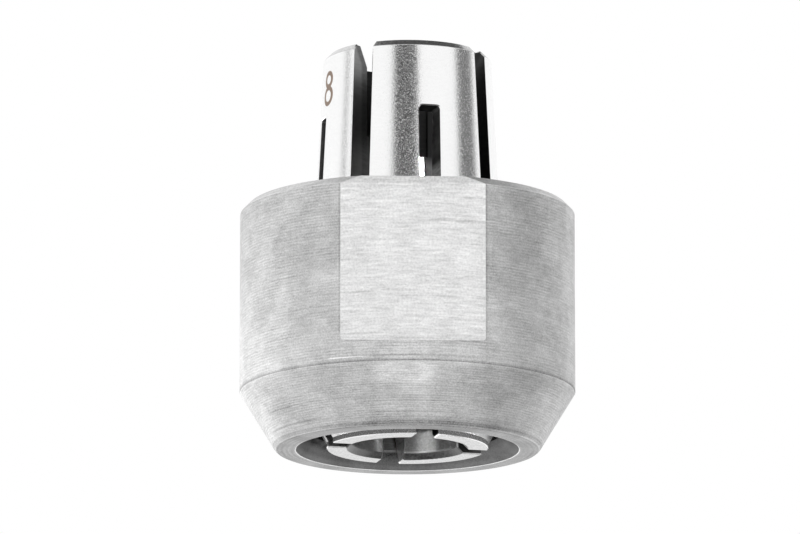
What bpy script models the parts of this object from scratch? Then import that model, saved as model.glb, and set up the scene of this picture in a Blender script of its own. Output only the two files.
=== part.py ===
"""Router collet: a round nut with two wrench flats, the slotted spring collet that it closes,
and the wire ring that ties the two together so that the nut draws the collet out of its spindle.

Metres, +Z up. The part stands on the nut's nose rim, which is the plane z = 0, and the collet's
tail points up. The wrench flats face -Y and +Y. The axis of all three pieces is the Z axis.
"""
import math

import bmesh
import bpy
from mathutils import Matrix

MM = 0.001

# Fits between the pieces
RUNNING_GAP = 0.3 * MM
RING_PLAY = 0.5 * MM

# Spring collet, from the nose up
BORE_DIAMETER = 8.0 * MM
NOSE_WALL = 1.85 * MM
NOSE_LENGTH = 0.25 * MM
NOSE_RECESS = 0.1 * MM
SEAT_HALF_ANGLE = math.radians(30.0)
HEAD_STEP = 1.65 * MM
HEAD_LENGTH = 2.69 * MM
NECK_DEPTH = 0.9 * MM
NECK_LENGTH = 2.0 * MM
TAIL_UNDERCUT = 0.28 * MM
TAIL_LENGTH = 21.3 * MM
TAIL_HALF_ANGLE = math.radians(3.0)
TAIL_CHAMFER = 0.38 * MM
BORE_CHAMFER = 0.42 * MM
NOSE_EDGE = 0.08 * MM
RELIEF_STEP = 0.25 * MM
RELIEF_LENGTH = 6.5 * MM
MOUTH_STEP = 0.95 * MM
MOUTH_HALF_ANGLE = math.radians(33.0)

# Slots of the spring collet: two saw cuts across the axis from each end make four slots
CUTS_PER_END = 2
FIRST_SLOT_ANGLE = math.radians(12.4)
SLOT_WIDTH = 1.57 * MM
SLOT_CORNER = 0.25 * MM
NOSE_BRIDGE = 3.8 * MM
TAIL_BRIDGE = 4.98 * MM

# Retaining ring
WIRE_DIAMETER = 1.0 * MM
RING_GRIP = 0.45 * MM
RING_OPENING = math.radians(24.0)

# Nut
NUT_HEIGHT = 17.9 * MM
OPENING_STEP = 1.27 * MM
THROAT_LAND = 0.2 * MM
RIM_WIDTH = 1.45 * MM
RIM_EDGE = 0.15 * MM
CONE_HEIGHT = 4.27 * MM
NUT_CHAMFER = 0.55 * MM
GROOVE_LAND = 0.4 * MM
THREAD_STEP = 0.61 * MM
THREAD_PITCH = 1.0 * MM
THREAD_DEPTH_PER_PITCH = 0.5413
THREAD_ROOT_PER_PITCH = 0.125
THREAD_FLANK_ANGLE = math.radians(30.0)
THREAD_UNDERCUT = 0.2 * MM
UNDERCUT_LENGTH = 1.0 * MM
THREAD_LEAD_IN = 0.6 * MM
FLAT_WALL = 1.5 * MM
FLAT_DEPTH = 1.17 * MM
FLAT_FLOOR = 5.67 * MM
FLAT_FILLET = 0.45 * MM

# Facets
TURNED_STEPS = 96
WIRE_STEPS = 60
WIRE_SIDES = 12
THREAD_STEPS = 48
ARC_STEPS = 5
SHARP_ANGLE = math.radians(25.0)
MERGE = 0.001 * MM
OVERCUT = 1.0 * MM
THREAD_OVERCUT = 0.1 * MM

# Radii of the spring collet
BORE_RADIUS = BORE_DIAMETER / 2
NOSE_RADIUS = BORE_RADIUS + NOSE_WALL
HEAD_RADIUS = NOSE_RADIUS + HEAD_STEP
NECK_RADIUS = HEAD_RADIUS - NECK_DEPTH
TAIL_RADIUS = HEAD_RADIUS - TAIL_UNDERCUT
RELIEF_RADIUS = BORE_RADIUS + RELIEF_STEP
MOUTH_RADIUS = RELIEF_RADIUS + MOUTH_STEP

# Heights of the spring collet above its own nose face
HEAD_START = NOSE_LENGTH + HEAD_STEP / math.tan(SEAT_HALF_ANGLE)
HEAD_END = HEAD_START + HEAD_LENGTH
TAIL_START = HEAD_END + NECK_LENGTH
COLLET_LENGTH = TAIL_START + TAIL_LENGTH

# Retaining ring, whose wire reaches in behind the collet's head
WIRE_RADIUS = WIRE_DIAMETER / 2
RING_RADIUS = HEAD_RADIUS - RING_GRIP + WIRE_RADIUS
RING_HEIGHT = NOSE_RECESS + HEAD_END + RING_PLAY + WIRE_RADIUS

# Nose of the nut, whose seat cone lies a running gap outside the collet's cone
SEAT_SLOPE = math.tan(SEAT_HALF_ANGLE)
SEAT_START = OPENING_STEP + THROAT_LAND
SEAT_RISE = SEAT_START - NOSE_RECESS - NOSE_LENGTH
THROAT_RADIUS = NOSE_RADIUS + SEAT_RISE * SEAT_SLOPE + RUNNING_GAP / math.cos(SEAT_HALF_ANGLE)
OPENING_RADIUS = THROAT_RADIUS + OPENING_STEP
CHAMBER_RADIUS = HEAD_RADIUS + RUNNING_GAP
SEAT_END = SEAT_START + (CHAMBER_RADIUS - THROAT_RADIUS) / SEAT_SLOPE

# Other radii and heights of the nut
GROOVE_RADIUS = RING_RADIUS + WIRE_RADIUS + RUNNING_GAP
GROOVE_START = RING_HEIGHT - WIRE_RADIUS - RUNNING_GAP
GROOVE_END = RING_HEIGHT + WIRE_RADIUS + RUNNING_GAP
THREAD_MINOR_RADIUS = GROOVE_RADIUS + THREAD_STEP
THREAD_MAJOR_RADIUS = THREAD_MINOR_RADIUS + THREAD_DEPTH_PER_PITCH * THREAD_PITCH
UNDERCUT_RADIUS = THREAD_MAJOR_RADIUS + THREAD_UNDERCUT
UNDERCUT_START = GROOVE_END + GROOVE_LAND
UNDERCUT_END = UNDERCUT_START + UNDERCUT_LENGTH
FLAT_DISTANCE = THREAD_MAJOR_RADIUS + FLAT_WALL
NUT_RADIUS = FLAT_DISTANCE + FLAT_DEPTH
RIM_RADIUS = OPENING_RADIUS + RIM_WIDTH


def tail_radius(height):
    """Radius of the collet's tapered tail at a height above its nose face."""
    return TAIL_RADIUS - (height - TAIL_START) * math.tan(TAIL_HALF_ANGLE)


def clear_scene():
    for item in list(bpy.data.objects):
        bpy.data.objects.remove(item, do_unlink=True)


def steel(name, colour, roughness):
    material = bpy.data.materials.new(name)
    material.use_nodes = True
    shader = material.node_tree.nodes["Principled BSDF"]
    shader.inputs["Base Color"].default_value = (*colour, 1.0)
    shader.inputs["Metallic"].default_value = 1.0
    shader.inputs["Roughness"].default_value = roughness
    return material


def finish_mesh(mesh_builder, name):
    """Turns a closed bmesh into an object, smooth apart from its real edges."""
    bmesh.ops.remove_doubles(mesh_builder, verts=mesh_builder.verts, dist=MERGE)
    bmesh.ops.recalc_face_normals(mesh_builder, faces=mesh_builder.faces)
    mesh = bpy.data.meshes.new(name)
    mesh_builder.to_mesh(mesh)
    mesh_builder.free()
    mesh.shade_smooth()
    mesh.set_sharp_from_angle(angle=SHARP_ANGLE)
    item = bpy.data.objects.new(name, mesh)
    bpy.context.collection.objects.link(item)
    return item


def turned(name, profile):
    """Turns a closed (radius, height) outline round the Z axis."""
    builder = bmesh.new()
    points = [builder.verts.new((radius, 0.0, height)) for radius, height in profile]
    edges = [builder.edges.new((a, b)) for a, b in zip(points, points[1:] + points[:1])]
    bmesh.ops.spin(
        builder,
        geom=points + edges,
        cent=(0, 0, 0),
        axis=(0, 0, 1),
        angle=math.tau,
        steps=TURNED_STEPS,
        use_merge=True,
    )
    return finish_mesh(builder, name)


def as_cutter(item):
    item.hide_render = True
    item.display_type = "WIRE"
    return item


def swept(name, section, turn, steps, climb=0.0):
    """Sweeps a closed (radius, height) section part of a turn or more round the Z axis."""
    builder = bmesh.new()
    points = [builder.verts.new((radius, 0.0, height)) for radius, height in section]
    edges = [builder.edges.new((a, b)) for a, b in zip(points, points[1:] + points[:1])]
    bmesh.ops.spin(
        builder,
        geom=points + edges,
        cent=(0, 0, 0),
        axis=(0, 0, 1),
        dvec=(0, 0, climb / steps),
        angle=turn,
        steps=steps,
    )
    bmesh.ops.holes_fill(builder, edges=builder.edges, sides=len(section))
    return finish_mesh(builder, name)


def prism(name, outline, half_length, turn):
    """Extrudes a (y, z) outline along X to both sides, then turns it round the Z axis."""
    builder = bmesh.new()
    face = builder.faces.new([builder.verts.new((-half_length, y, z)) for y, z in outline])
    sweep = bmesh.ops.extrude_face_region(builder, geom=[face])
    moved = [part for part in sweep["geom"] if isinstance(part, bmesh.types.BMVert)]
    bmesh.ops.translate(builder, verts=moved, vec=(2 * half_length, 0, 0))
    bmesh.ops.transform(builder, matrix=Matrix.Rotation(turn, 4, "Z"), verts=builder.verts)
    return as_cutter(finish_mesh(builder, name))


def cut(item, cutter):
    cutter.parent = item
    modifier = item.modifiers.new(cutter.name, "BOOLEAN")
    modifier.operation = "DIFFERENCE"
    modifier.object = cutter


def arc(centre_y, centre_z, radius, start, end):
    """Points of a round stretch of an outline, with both ends."""
    angles = [start + (end - start) * step / ARC_STEPS for step in range(ARC_STEPS + 1)]
    return [(centre_y + radius * math.cos(a), centre_z + radius * math.sin(a)) for a in angles]


def nut_outline():
    cone_slope = (NUT_RADIUS - RIM_RADIUS) / CONE_HEIGHT
    outside = [
        (OPENING_RADIUS, 0.0),
        (RIM_RADIUS - RIM_EDGE, 0.0),
        (RIM_RADIUS + RIM_EDGE * cone_slope, RIM_EDGE),
        (NUT_RADIUS, CONE_HEIGHT),
        (NUT_RADIUS, NUT_HEIGHT - NUT_CHAMFER),
        (NUT_RADIUS - NUT_CHAMFER, NUT_HEIGHT),
    ]
    thread_bore = [
        (THREAD_MINOR_RADIUS + THREAD_LEAD_IN, NUT_HEIGHT),
        (THREAD_MINOR_RADIUS, NUT_HEIGHT - THREAD_LEAD_IN),
        (THREAD_MINOR_RADIUS, UNDERCUT_END),
        (UNDERCUT_RADIUS, UNDERCUT_END),
        (UNDERCUT_RADIUS, UNDERCUT_START),
    ]
    ring_chamber = [
        (CHAMBER_RADIUS, UNDERCUT_START),
        (CHAMBER_RADIUS, GROOVE_END),
        (GROOVE_RADIUS, GROOVE_END),
        (GROOVE_RADIUS, GROOVE_START),
        (CHAMBER_RADIUS, GROOVE_START),
    ]
    seat = [
        (CHAMBER_RADIUS, SEAT_END),
        (THROAT_RADIUS, SEAT_START),
        (THROAT_RADIUS, OPENING_STEP),
    ]
    return outside + thread_bore + ring_chamber + seat


def thread_cutter():
    """Right-hand thread cutter, from inside the undercut up past the nut's rear face."""
    start = (UNDERCUT_START + UNDERCUT_END) / 2
    turns = math.ceil((NUT_HEIGHT - start) / THREAD_PITCH + THREAD_ROOT_PER_PITCH) + 1
    inner_radius = THREAD_MINOR_RADIUS - THREAD_OVERCUT
    root = THREAD_ROOT_PER_PITCH * THREAD_PITCH / 2
    mouth = root + (THREAD_MAJOR_RADIUS - inner_radius) * math.tan(THREAD_FLANK_ANGLE)
    section = [
        (inner_radius, start - mouth),
        (THREAD_MAJOR_RADIUS, start - root),
        (THREAD_MAJOR_RADIUS, start + root),
        (inner_radius, start + mouth),
    ]
    climb = turns * THREAD_PITCH
    cutter = swept("thread_cutter", section, turns * math.tau, turns * THREAD_STEPS, climb)
    cutter.data.transform(Matrix.Rotation(math.pi / TURNED_STEPS, 4, "Z"))
    return as_cutter(cutter)


def build_nut():
    nut = turned("collet_nut", nut_outline())
    nut.data.materials.append(steel("turned_steel", (0.52, 0.52, 0.51), 0.45))
    cut(nut, thread_cutter())
    top = NUT_HEIGHT + OVERCUT
    outside = NUT_RADIUS + OVERCUT
    fillet = min(FLAT_FILLET, FLAT_DEPTH)
    outline = [(-outside, top), (-FLAT_DISTANCE, top)]
    outline += arc(-FLAT_DISTANCE - fillet, FLAT_FLOOR + fillet, fillet, 0.0, -math.pi / 2)
    outline += [(-outside, FLAT_FLOOR)]
    for side, turn in (("front", 0.0), ("back", math.pi)):
        cut(nut, prism(f"{side}_flat_cutter", outline, outside, turn))
    return nut


def collet_outline():
    tail_edge = tail_radius(COLLET_LENGTH - TAIL_CHAMFER)
    outside = [
        (BORE_RADIUS + BORE_CHAMFER, 0.0),
        (NOSE_RADIUS - NOSE_EDGE, 0.0),
        (NOSE_RADIUS, NOSE_EDGE),
        (NOSE_RADIUS, NOSE_LENGTH),
        (HEAD_RADIUS, HEAD_START),
        (HEAD_RADIUS, HEAD_END),
        (NECK_RADIUS, HEAD_END),
        (NECK_RADIUS, TAIL_START),
        (TAIL_RADIUS, TAIL_START),
        (tail_edge, COLLET_LENGTH - TAIL_CHAMFER),
        (tail_edge - TAIL_CHAMFER, COLLET_LENGTH),
    ]
    inside = [
        (MOUTH_RADIUS, COLLET_LENGTH),
        (RELIEF_RADIUS, COLLET_LENGTH - MOUTH_STEP / math.tan(MOUTH_HALF_ANGLE)),
        (RELIEF_RADIUS, COLLET_LENGTH - RELIEF_LENGTH),
        (BORE_RADIUS, COLLET_LENGTH - RELIEF_LENGTH),
        (BORE_RADIUS, BORE_CHAMFER),
    ]
    return outside + inside


def slot_outline(closed_end, open_end):
    """Outline of one saw cut: square at its open end, small round corners at its closed end."""
    half = SLOT_WIDTH / 2
    corner = min(SLOT_CORNER, half / 2)
    toward_open = math.copysign(1.0, open_end - closed_end)
    corners = arc(half - corner, 0.0, corner, 0.0, math.pi / 2)
    right = [(y, closed_end + toward_open * (corner - z)) for y, z in corners]
    left = [(-y, z) for y, z in reversed(right)]
    return [(half, open_end)] + right + left + [(-half, open_end)]


def build_collet():
    collet = turned("spring_collet", collet_outline())
    collet.data.materials.append(steel("ground_steel", (0.66, 0.66, 0.65), 0.18))
    reach = HEAD_RADIUS + OVERCUT
    half_step = math.pi / CUTS_PER_END / 2
    nose_cut = slot_outline(COLLET_LENGTH - TAIL_BRIDGE, -OVERCUT)
    tail_cut = slot_outline(NOSE_BRIDGE, COLLET_LENGTH + OVERCUT)
    for index in range(CUTS_PER_END):
        turn = FIRST_SLOT_ANGLE + math.pi / 2 + 2 * half_step * index
        cut(collet, prism(f"nose_slot_cutter_{index + 1}", nose_cut, reach, turn))
        cut(collet, prism(f"tail_slot_cutter_{index + 1}", tail_cut, reach, turn + half_step))
    return collet


def build_ring():
    """An open ring of round wire, cut off square at its two ends."""
    sides = [math.tau * side / WIRE_SIDES for side in range(WIRE_SIDES)]
    section = [(RING_RADIUS + WIRE_RADIUS * math.cos(a), WIRE_RADIUS * math.sin(a)) for a in sides]
    ring = swept("retaining_ring", section, math.tau - RING_OPENING, WIRE_STEPS)
    ring.data.transform(Matrix.Rotation(RING_OPENING / 2 - math.pi / 2, 4, "Z"))
    ring.data.materials.append(steel("spring_wire", (0.35, 0.35, 0.34), 0.35))
    return ring


def build():
    clear_scene()
    nut = build_nut()
    ring = build_ring()
    ring.location = (0, 0, RING_HEIGHT)
    ring.parent = nut
    collet = build_collet()
    collet.location = (0, 0, NOSE_RECESS)
    collet.parent = nut


build()
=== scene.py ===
"""Looks of a router collet with its nut: fine surfaces, steel finishes and a small studio.

The three pieces are turned and slotted again here with their edge roundings, deburred slots and
thread, and each one stands for its plain solid in the frame. Metres, +Z up, nose rim on z = 0.
"""
import math

import bmesh
import bpy
from bpy.props import FloatProperty, FloatVectorProperty, IntProperty, PointerProperty
from mathutils import Matrix, Vector


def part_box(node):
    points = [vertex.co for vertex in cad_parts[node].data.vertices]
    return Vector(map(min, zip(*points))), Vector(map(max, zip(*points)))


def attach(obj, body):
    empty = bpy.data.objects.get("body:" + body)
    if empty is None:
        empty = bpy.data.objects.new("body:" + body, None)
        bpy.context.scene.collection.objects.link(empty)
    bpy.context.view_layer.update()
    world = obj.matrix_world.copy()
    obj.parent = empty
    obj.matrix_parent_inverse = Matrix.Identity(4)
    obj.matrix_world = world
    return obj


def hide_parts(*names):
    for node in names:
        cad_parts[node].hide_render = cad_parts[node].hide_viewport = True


bl_info = {
    "name": "Router Collet Looks",
    "version": (1, 0, 0),
    "blender": (4, 5, 0),
    "location": "View3D > Sidebar > Collet",
    "description": "Builds the fine surfaces, steel finishes and studio of a router collet",
    "category": "Object",
}

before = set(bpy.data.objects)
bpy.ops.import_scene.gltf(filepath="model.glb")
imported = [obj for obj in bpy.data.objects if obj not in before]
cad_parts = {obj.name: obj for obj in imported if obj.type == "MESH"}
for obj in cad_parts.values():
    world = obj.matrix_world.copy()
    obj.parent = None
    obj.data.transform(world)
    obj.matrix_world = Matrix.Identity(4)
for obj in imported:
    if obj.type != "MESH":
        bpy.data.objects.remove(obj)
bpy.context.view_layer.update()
NUT_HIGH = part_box("collet_nut")[1]
COLLET_LOW, COLLET_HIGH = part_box("spring_collet")
RING_LOW, RING_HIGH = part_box("retaining_ring")

MM = 0.001
SHARP_ANGLE = math.radians(20.0)

# Welding distance, tolerance for a place, share by which a cutter outreaches the nut, and gap
# round the ring's wire in its groove
WELD = 0.0005 * MM
NEAR = 0.001 * MM
OVERCUT = 1.2
RUNNING_GAP = 0.3 * MM

# Rows of points along each pitch of the thread, and the flat shares of the pitch
THREAD_ROWS = 12
CREST = 0.25
ROOT = 0.125

# Feed of the turning, radius of the milling cutter's marks and radius of the tail at the mark,
# in millimetres, and the wave texture's period at a scale of 1
TURNING_FEED = 0.21
MILLING_RADIUS = 62.5
MARK_RADIUS = 6.2
WAVE_PERIOD = math.tau / 20

# Depth of the relief of the finishes
RELIEF = 0.006 * MM
FINE_RELIEF = 0.005 * MM

# Mean of a noise, and where a shade is full, as shares of its half width and of its reach
MIDDLE = 0.5
SOFT_SIDE = 0.7
SOFT_END = 0.6

# The camera's sensor in millimetres, and the distance and spread of the strips of light
SENSOR_WIDTH = 36.0
STRIP_DISTANCE = 40 * MM
STRIP_SPREAD = math.radians(1.0)

# Finishes, by their places in the materials' lists of the nut and of the collet
TURNED, MILLED, BORED = range(3)
GROUND, SAWN, FACED, SATIN, HONED, CHAMFERED, DRESSED = range(7)

# Rings, scratches, painted highlights, painted shade and other places drawn darker or lighter.
# Each is its height and half its width in millimetres, its change of tone, and the bearing of
# its middle and its reach to each side in degrees, where it doesn't run all round. Those at a
# corner or an edge are counted from that height.
CORNER_LIGHT_AND_SHADE = (
    # Painted shade and painted highlight lines along the edge between the cylinder and the cone
    (0.02, 0.11, -0.24),
    (-0.14, 0.07, 0.1),
    (0.32, 0.07, -0.18, 2.0, 22.0),
    # A painted highlight: a short bright streak just above that edge, left of the front
    (0.3, 0.05, 0.36, -23.0, 8.0),
    # A painted pool of light on the cone, facing the front
    (-0.85, 0.8, 0.2, -3.0, 13.0),
)
NOSE_SHADES = (
    (0.24, 0.13, -0.18),
    (0.0, 0.05, -0.25),
    (0.0, 0.05, -0.12, 17.0, 18.0),
    (0.12, 0.1, -0.2, 9.0, 42.0),
    (0.45, 0.24, -0.13, 10.0, 34.0),
    (0.92, 0.06, -0.2, -2.0, 20.0),
    (1.62, 0.05, -0.18, -2.0, 20.0),
    (1.86, 0.16, -0.1, -3.0, 20.0),
    (0.8, 0.06, -0.24, -60.0, 22.0),
    (1.9, 0.05, -0.18, -61.0, 9.0),
    (11.8, 7.0, -0.15, 25.6, 0.5),
    (11.8, 7.0, -0.15, -25.6, 0.5),
)
FLAT_END_SHADES = ((0.0, 0.6, -0.16),)
BORED_LIGHT_AND_SHADE = (
    # Painted shade deep in the seat cone, round the left and far side and on the right
    (3.0, 2.75, -0.6, -150.0, 95.0),
    (3.0, 2.1, -0.5, 120.0, 60.0),
    # A painted pool of light on the seat cone, where it shows through the far nose slot
    (2.2, 1.1, 1.3, -167.6, 9.0),
)
# Painted light on the right wall of the first nose slot, low down and higher up
SAWN_WALL_LIGHT = ((18.6, 1.75, 8.0, 20.8, 12.0), (24.0, 4.0, 1.6, 20.8, 12.0))
# One tail slot's wall made darker high up, and painted light on the far nose slot's right wall
DRESSED_SHADES = ((27.0, 5.1, -0.9, 147.4, 22.0), (1.2, 1.6, 3.0, -176.5, 7.0))
# A painted highlight along the bore's broken edge at the nose, on the far side
BORE_EDGE_HIGHLIGHT = ((0.06, 0.1, 1.5, 155.0, 36.0),)
# Painted shade on the far middle of the bore's chamfer at the nose
CHAMFER_PAINTED_SHADE = ((0.0, 2.0, -0.6, 172.0, 52.0),)

# Slots are counted from the first nose slot. Some kept the black of hardening inside, and
# some were sawn a little off their even places, by these degrees.
DULL_SLOTS = (0, 1)
SLOT_DRIFT = {0: 0.35, 1: 1.2, 7: -1.5}


def linear(code):
    """Scene-linear colour of an sRGB hex value such as 'B4B2AE'."""
    channels = [int(code[place:place + 2], 16) / 255 for place in (0, 2, 4)]
    return tuple(c / 12.92 if c <= 0.04045 else ((c + 0.055) / 1.055) ** 2.4 for c in channels)


def length(name, description, millimetres):
    """A length setting with its default in millimetres."""
    return FloatProperty(name=name, description=description, default=millimetres * MM,
                         unit="LENGTH", precision=5)


def angle(name, description, degrees):
    """An angle setting with its default in degrees."""
    return FloatProperty(name=name, description=description, default=math.radians(degrees),
                         unit="ROTATION")


def colour(name, description, code):
    """A colour setting with its default as an sRGB hex value."""
    return FloatVectorProperty(name=name, description=description, default=linear(code),
                               size=3, min=0.0, max=1.0, subtype="COLOR")


class NutSettings(bpy.types.PropertyGroup):
    """Sizes and colours of the nut; its radius and height come from the frame."""

    opening_radius: length("Opening Radius", "Radius of the nose opening", 8.113)
    throat_radius: length("Throat Radius", "Narrowest radius inside the nose", 6.843)
    chamber_radius: length("Chamber Radius", "Radius of the chamber behind the seat", 7.8)
    seat_start: length("Seat Start", "Height where the seat cone starts", 1.47)
    seat_taper: angle("Seat Taper", "Half angle of the seat cone", 30.0)
    groove_radius: length("Groove Radius", "Radius of the retaining ring's groove", 8.35)
    land: length("Land", "Land between the groove and the thread", 0.4)
    undercut: length("Undercut", "Length of the run-out groove of the thread", 1.0)
    undercut_radius: length("Undercut Radius", "Radius of the run-out groove", 9.7)
    thread_radius: length("Thread Radius", "Minor radius of the female thread", 8.96)
    thread_pitch: length("Thread Pitch", "Pitch of the female thread", 1.0)
    thread_depth: length("Thread Depth", "Depth of the female thread", 0.54)
    lead_in: length("Lead In", "Chamfer at the mouth of the thread", 0.6)
    rim_radius: length("Rim Radius", "Radius where the rim meets the outer cone", 9.563)
    rim_rounding: length("Rim Rounding", "Rounding of the rim's outer edge", 0.42)
    cone_height: length("Cone Height", "Height where the cone meets the cylinder", 4.27)
    rear_chamfer: length("Rear Chamfer", "Chamfer of the rear edge", 0.55)
    edge_rounding: length("Edge Rounding", "Rounding of the other edges", 0.06)
    flat_distance: length("Flat Distance", "Distance of each wrench flat from the axis", 11.0013)
    flat_floor: length("Flat Floor", "Height of the flats' lower end", 5.67)
    flat_fillet: length("Flat Fillet", "Radius that the cutter left at that end", 0.45)
    steps: IntProperty(name="Steps", description="Facets round the nut", default=288, min=24)
    turned_colour: colour("Turned Steel", "Colour of the turned outside", "BFBFBF")
    milled_colour: colour("Milled Steel", "Colour of the wrench flats", "E5E5E5")
    bored_colour: colour("Bored Steel", "Colour of the inside", "747474")


class ColletSettings(bpy.types.PropertyGroup):
    """Sizes and colours of the spring collet; its height comes from the frame."""

    bore_radius: length("Bore Radius", "Radius of the bore", 4.0)
    bore_chamfer: length("Bore Chamfer", "Chamfer at the nose end of the bore", 0.42)
    nose_radius: length("Nose Radius", "Radius of the nose", 5.85)
    nose_length: length("Nose Length", "Length of the nose before the front cone", 0.4)
    cone_taper: angle("Cone Taper", "Half angle of the front cone", 31.35)
    head_radius: length("Head Radius", "Radius of the head", 7.5)
    head_length: length("Head Length", "Length of the head behind the front cone", 2.69)
    neck_radius: length("Neck Radius", "Radius of the neck behind the head", 6.6)
    neck_length: length("Neck Length", "Length of the neck", 2.0)
    tail_radius: length("Tail Radius", "Radius where the tapered tail starts", 7.22)
    tail_taper: angle("Tail Taper", "Half angle of the tail's taper", 3.0)
    tail_chamfer: length("Tail Chamfer", "Chamfer at the tail's end", 0.46)
    relief_radius: length("Relief Radius", "Radius of the bore's relief in the tail", 4.25)
    relief_length: length("Relief Length", "Length of that relief from the tail's end", 6.5)
    mouth_radius: length("Mouth Radius", "Radius of the countersunk mouth in the tail", 5.2)
    mouth_taper: angle("Mouth Taper", "Half angle of the countersunk mouth", 33.0)
    slot_width: length("Slot Width", "Width of the saw cuts", 1.57)
    slot_corner: length("Slot Corner", "Corner radius at the closed end of a cut", 0.25)
    slot_angle: angle("Slot Angle", "Angle of the first nose slot from -Y towards +X", 12.4)
    nose_bridge: length("Nose Bridge", "Material left at the nose by the tail's slots", 3.8)
    tail_bridge: length("Tail Bridge", "Material left at the tail by the nose's slots", 4.98)
    deburr: length("Deburr", "Width of the broken edges along the slots", 0.09)
    edge: length("Edge", "Width of the other broken edges", 0.06)
    slots: IntProperty(name="Slots", description="Slots from each end", default=4, min=2)
    steps: IntProperty(name="Steps", description="Facets between two slots", default=26, min=4)
    ground_colour: colour("Ground Steel", "Colour of the ground outside", "F8F8F8")
    honed_colour: colour("Honed Steel", "Colour of the honed bore", "C8C8C8")
    faced_colour: colour("Faced Steel", "Colour of the nose's face", "CCCCCC")
    chamfer_colour: colour("Chamfered Steel", "Colour of the bore's chamfer at the nose", "6C6C6C")
    sawn_colour: colour("Sawn Steel", "Colour of the slots' walls", "484848")
    dressed_colour: colour("Dressed Steel", "Colour of the dressed slots' walls", "8C8C8C")
    mark_colour: colour("Laser Mark", "Colour of the laser-marked bore size", "8C7B6E")
    mark_angle: angle("Mark Angle", "Angle of the mark from -Y towards +X", -68.5)
    mark_height: length("Mark Height", "Height of the mark's middle", 26.3)
    mark_size: length("Mark Size", "Height of the marked figure", 2.3)


class RingSettings(bpy.types.PropertyGroup):
    """Sizes and colour of the retaining ring; its outer radius and height come from the frame."""

    opening: angle("Opening", "Angle of the gap between the ring's ends", 24.0)
    sides: IntProperty(name="Sides", description="Facets round the wire", default=24, min=8)
    steps: IntProperty(name="Steps", description="Facets round the ring", default=180, min=24)
    wire_colour: colour("Spring Wire", "Colour of the drawn wire", "8A8985")


class StageSettings(bpy.types.PropertyGroup):
    """The studio: camera, floor, world and lights."""

    camera_angle: angle("Camera Angle", "Camera's place round the axis from -Y towards +X", -2.05)
    camera_rise: angle("Camera Rise", "Angle of the camera above the object's middle", -12.0)
    camera_distance: length("Camera Distance", "Distance from the target to the camera", 687.5)
    target_height: length("Target Height", "Height of the point in the picture's middle", 13.564)
    target_side: length("Target Side", "That point's offset to the picture's right", -0.539)
    lens: FloatProperty(name="Lens", description="Focal length on a 36 mm sensor",
                        default=425.6, unit="CAMERA")
    floor_colour: colour("Floor", "Colour of the pale floor", "F2F2F2")
    card_distance: length("Card Distance", "Distance of the dark cards from the axis", 400.0)


def node(tree, kind, inputs=None, **settings):
    """Adds a shader node with its settings; each input is a value or an output to link."""
    item = tree.nodes.new("ShaderNode" + kind)
    for name, value in settings.items():
        setattr(item, name, value)
    for socket, value in (inputs or {}).items():
        if isinstance(value, bpy.types.NodeSocket):
            tree.links.new(value, item.inputs[socket])
        else:
            item.inputs[socket].default_value = value
    return item.outputs[0] if item.outputs else item


def maths(tree, operation, *values):
    """Result of a Math node on numbers or outputs."""
    return node(tree, "Math", dict(enumerate(values)), operation=operation)


def vector_maths(tree, operation, *places):
    """A Vector Math node on places, as the output that holds its vector."""
    return node(tree, "VectorMath", dict(enumerate(places)), operation=operation)


def ramp(tree, value, start, end, low, high):
    """Goes from low to high while a value goes from start to end, and stays level beyond."""
    return node(tree, "MapRange", {"Value": value, "From Min": start, "From Max": end,
                                             "To Min": low, "To Max": high})


def scaled(tree, vector, factor):
    """A place or a colour times a factor."""
    return node(tree, "VectorMath", {0: vector, "Scale": factor}, operation="SCALE")


def split(tree, place):
    """X, Y and Z of a place."""
    return node(tree, "SeparateXYZ", {0: place}).node.outputs


def joined(tree, *parts):
    """A place from its X, Y and Z."""
    return node(tree, "CombineXYZ", dict(enumerate(parts)))


def empty_tree(owner):
    """Node tree of a material or a world, emptied."""
    owner.use_nodes = True
    owner.node_tree.nodes.clear()
    return owner.node_tree


def new_material(name):
    """A material and its empty node tree."""
    material = bpy.data.materials.new(name)
    return material, empty_tree(material)


def new_finish(name):
    """A material, its empty node tree and a piece's own coordinates in millimetres."""
    material, tree = new_material(name)
    coordinates = node(tree, "TexCoord").node.outputs["Object"]
    return material, tree, scaled(tree, coordinates, 1 / MM)


def finish_steel(tree, base, roughness, height, depth, glancing=1.0):
    """Ends a steel's tree: metal with that colour, roughness and relief, and with glancing
    reflections held down inside dull openings."""
    relief = node(tree, "Bump", {"Height": height, "Distance": depth})
    shader = node(tree, "BsdfPrincipled",
                  {"Base Color": base, "Metallic": 1.0, "Roughness": roughness, "Normal": relief,
                   "Specular Tint": (glancing, glancing, glancing, 1.0)})
    node(tree, "OutputMaterial", {"Surface": shader})


def mixed(tree, factor, low, high):
    """A number between low and high, by a factor from 0 to 1."""
    return ramp(tree, factor, 0.0, 1.0, low, high)


def toned(tree, base, tone, contrast=1.0):
    """A colour made lighter or darker by a tone round 0."""
    return scaled(tree, base, maths(tree, "MULTIPLY_ADD", tone, contrast, 1.0))


def radius_of(tree, place):
    """Distance from the axis."""
    level = vector_maths(tree, "MULTIPLY", place, (1.0, 1.0, 0.0))
    return vector_maths(tree, "LENGTH", level).node.outputs["Value"]


def bearing_of(tree, parts):
    """Bearing from -Y towards +X, in radians."""
    return maths(tree, "ARCTAN2", parts[0], maths(tree, "MULTIPLY", parts[1], -1.0))


def across_turning(tree, place):
    """Coordinates that stay even along a turned groove and change across it: on a cylinder they
    change with height, and on an end face with radius."""
    parts = split(tree, place)
    along = maths(tree, "MULTIPLY_ADD", radius_of(tree, place), 0.6, parts[2])
    return joined(tree, parts[0], parts[1], along)


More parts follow.
